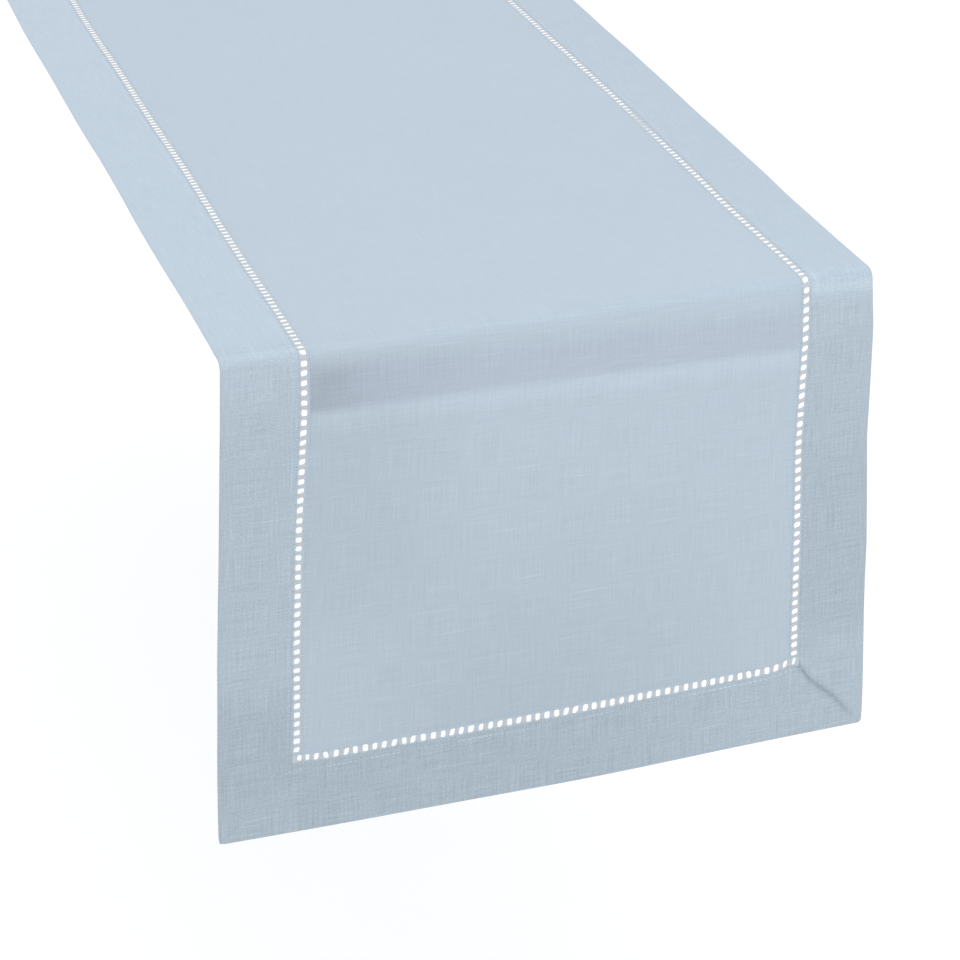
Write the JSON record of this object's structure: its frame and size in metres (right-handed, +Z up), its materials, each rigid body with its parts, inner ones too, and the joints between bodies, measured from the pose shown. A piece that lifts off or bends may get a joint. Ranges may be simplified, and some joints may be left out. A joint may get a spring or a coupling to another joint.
{
  "type": "table runner",
  "caption": "Linen table runner laid over a table with both ends hanging: plain centre panel, folded mitred hems and drawn-thread ladder borders.",
  "frame": {"origin": "middle of the runner's underside, where it lies flat on the table", "axes": "+Z up from the table, Y along the runner with the front end towards -Y, X across the runner with the left side towards -X"},
  "size_m": [0.3556, 1.7464, 0.2743],
  "materials": {
    "linen_panel": "pale blue plain-woven linen, one layer, slightly sheer",
    "linen_hem": "pale blue plain-woven linen, folded double",
    "linen_thread": "pale blue linen thread bundles, whipped"
  },
  "bodies": {
    "top": {"centre_panel_top": "linen_panel", "left_hem_top": "linen_hem", "right_hem_top": "linen_hem", "left_ladder_top": "linen_thread", "right_ladder_top": "linen_thread", "centre_panel_front_bend": "linen_panel", "left_hem_front_bend": "linen_hem", "right_hem_front_bend": "linen_hem", "left_ladder_front_bend": "linen_thread", "right_ladder_front_bend": "linen_thread", "centre_panel_back_bend": "linen_panel", "left_hem_back_bend": "linen_hem", "right_hem_back_bend": "linen_hem", "left_ladder_back_bend": "linen_thread", "right_ladder_back_bend": "linen_thread"},
    "front_drop": {"centre_panel_front": "linen_panel", "left_hem_front": "linen_hem", "right_hem_front": "linen_hem", "end_hem_front": "linen_hem", "left_ladder_front": "linen_thread", "right_ladder_front": "linen_thread", "end_ladder_front": "linen_thread"},
    "back_drop": {"centre_panel_back": "linen_panel", "left_hem_back": "linen_hem", "right_hem_back": "linen_hem", "end_hem_back": "linen_hem", "left_ladder_back": "linen_thread", "right_ladder_back": "linen_thread", "end_ladder_back": "linen_thread"}
  },
  "joints": [
    {"name": "front_drop_lift", "type": "hinge", "parent": "top", "child": "front_drop", "pos_m": [0, -0.87258, -0.0054], "axis": [-1, 0, 0], "range_deg": [0, 90]},
    {"name": "back_drop_lift", "type": "hinge", "parent": "top", "child": "back_drop", "pos_m": [0, 0.87258, -0.0054], "axis": [1, 0, 0], "range_deg": [0, 90]}
  ]
}
